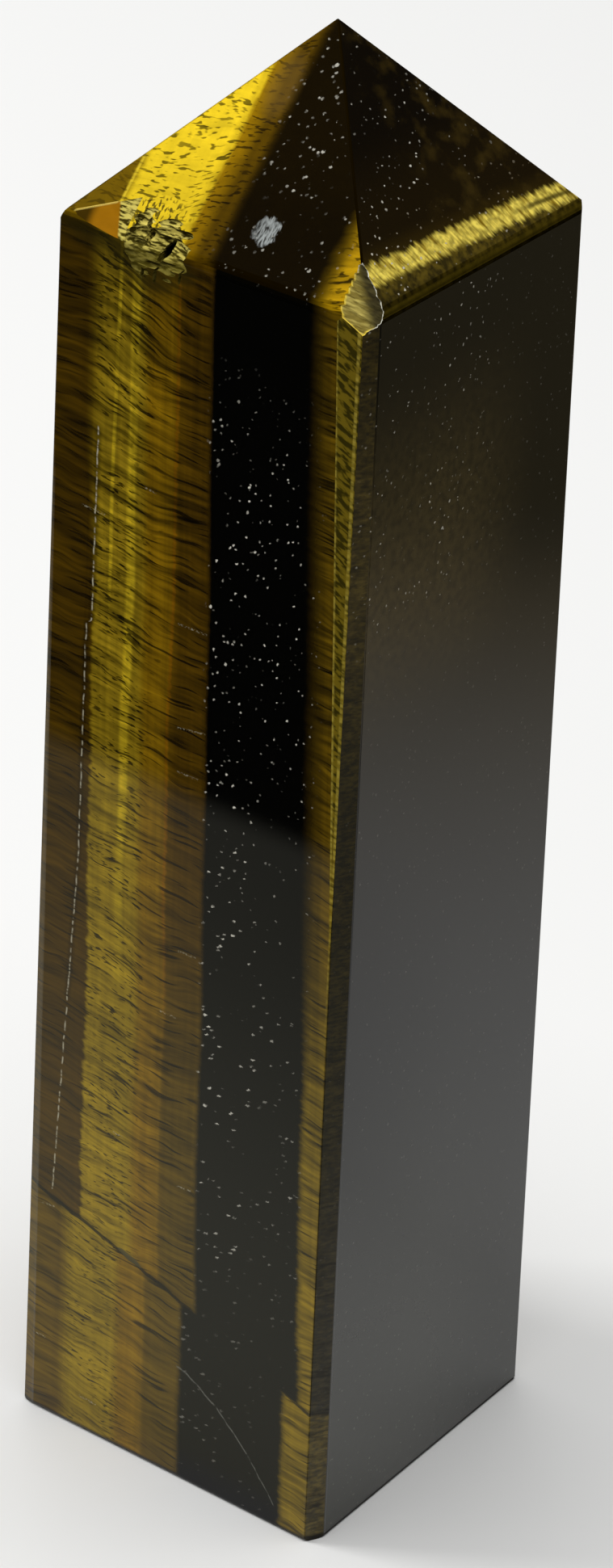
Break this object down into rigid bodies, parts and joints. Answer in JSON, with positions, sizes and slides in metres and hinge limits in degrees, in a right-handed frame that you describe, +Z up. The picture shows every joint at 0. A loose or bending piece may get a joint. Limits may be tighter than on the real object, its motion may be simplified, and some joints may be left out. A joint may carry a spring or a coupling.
{
  "type": "tigers eye tower",
  "caption": "Polished tiger's eye tower: a tapered square column of banded gold and dark stone with a low pyramid point, flat sawn base, chamfered edges and chipped shoulders.",
  "frame": {"origin": "centre of the flat base, on the surface that the stone stands on", "axes": "+Z up the column to its point; the fibres run along X; the widest chamfer is the front edge between the -Y and +X faces"},
  "size_m": [0.022, 0.0216, 0.0899],
  "materials": {
    "tigers_eye": "high polish, banded gold, brown and black with silky fibres"
  },
  "bodies": {
    "root": {"tigers_eye_tower": "tigers_eye"}
  },
  "joints": []
}
